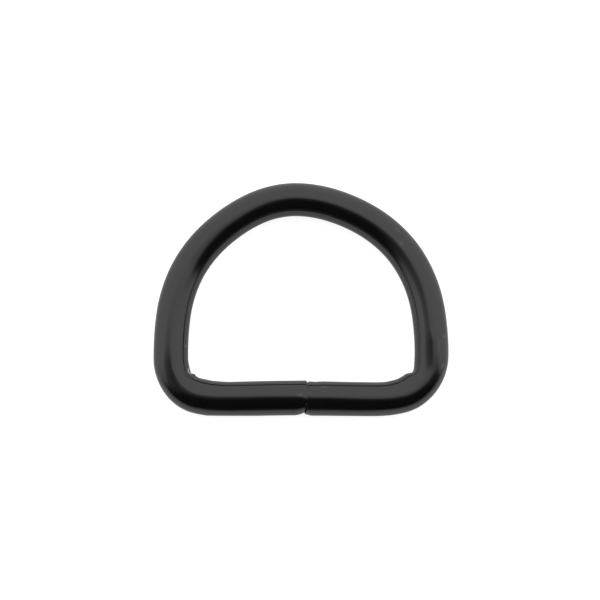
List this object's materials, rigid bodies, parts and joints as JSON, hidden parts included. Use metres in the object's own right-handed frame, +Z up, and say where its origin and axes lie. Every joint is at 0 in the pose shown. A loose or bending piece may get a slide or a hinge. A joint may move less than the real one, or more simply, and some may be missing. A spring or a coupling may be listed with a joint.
{
  "type": "d ring",
  "caption": "Plain D ring bent from one length of round wire, its ends butted in the middle of the straight bar, gloss black.",
  "frame": {"origin": "under the middle of the outline, on the plane that the wire rests on", "axes": "+X to the right along the straight bar, +Y from the bar towards the crown of the arch, +Z up, square to the ring's plane"},
  "size_m": [0.026, 0.021, 0.003],
  "materials": {
    "black_coat": "gloss black coat on steel wire"
  },
  "bodies": {
    "root": {"ring": "black_coat"}
  },
  "joints": []
}
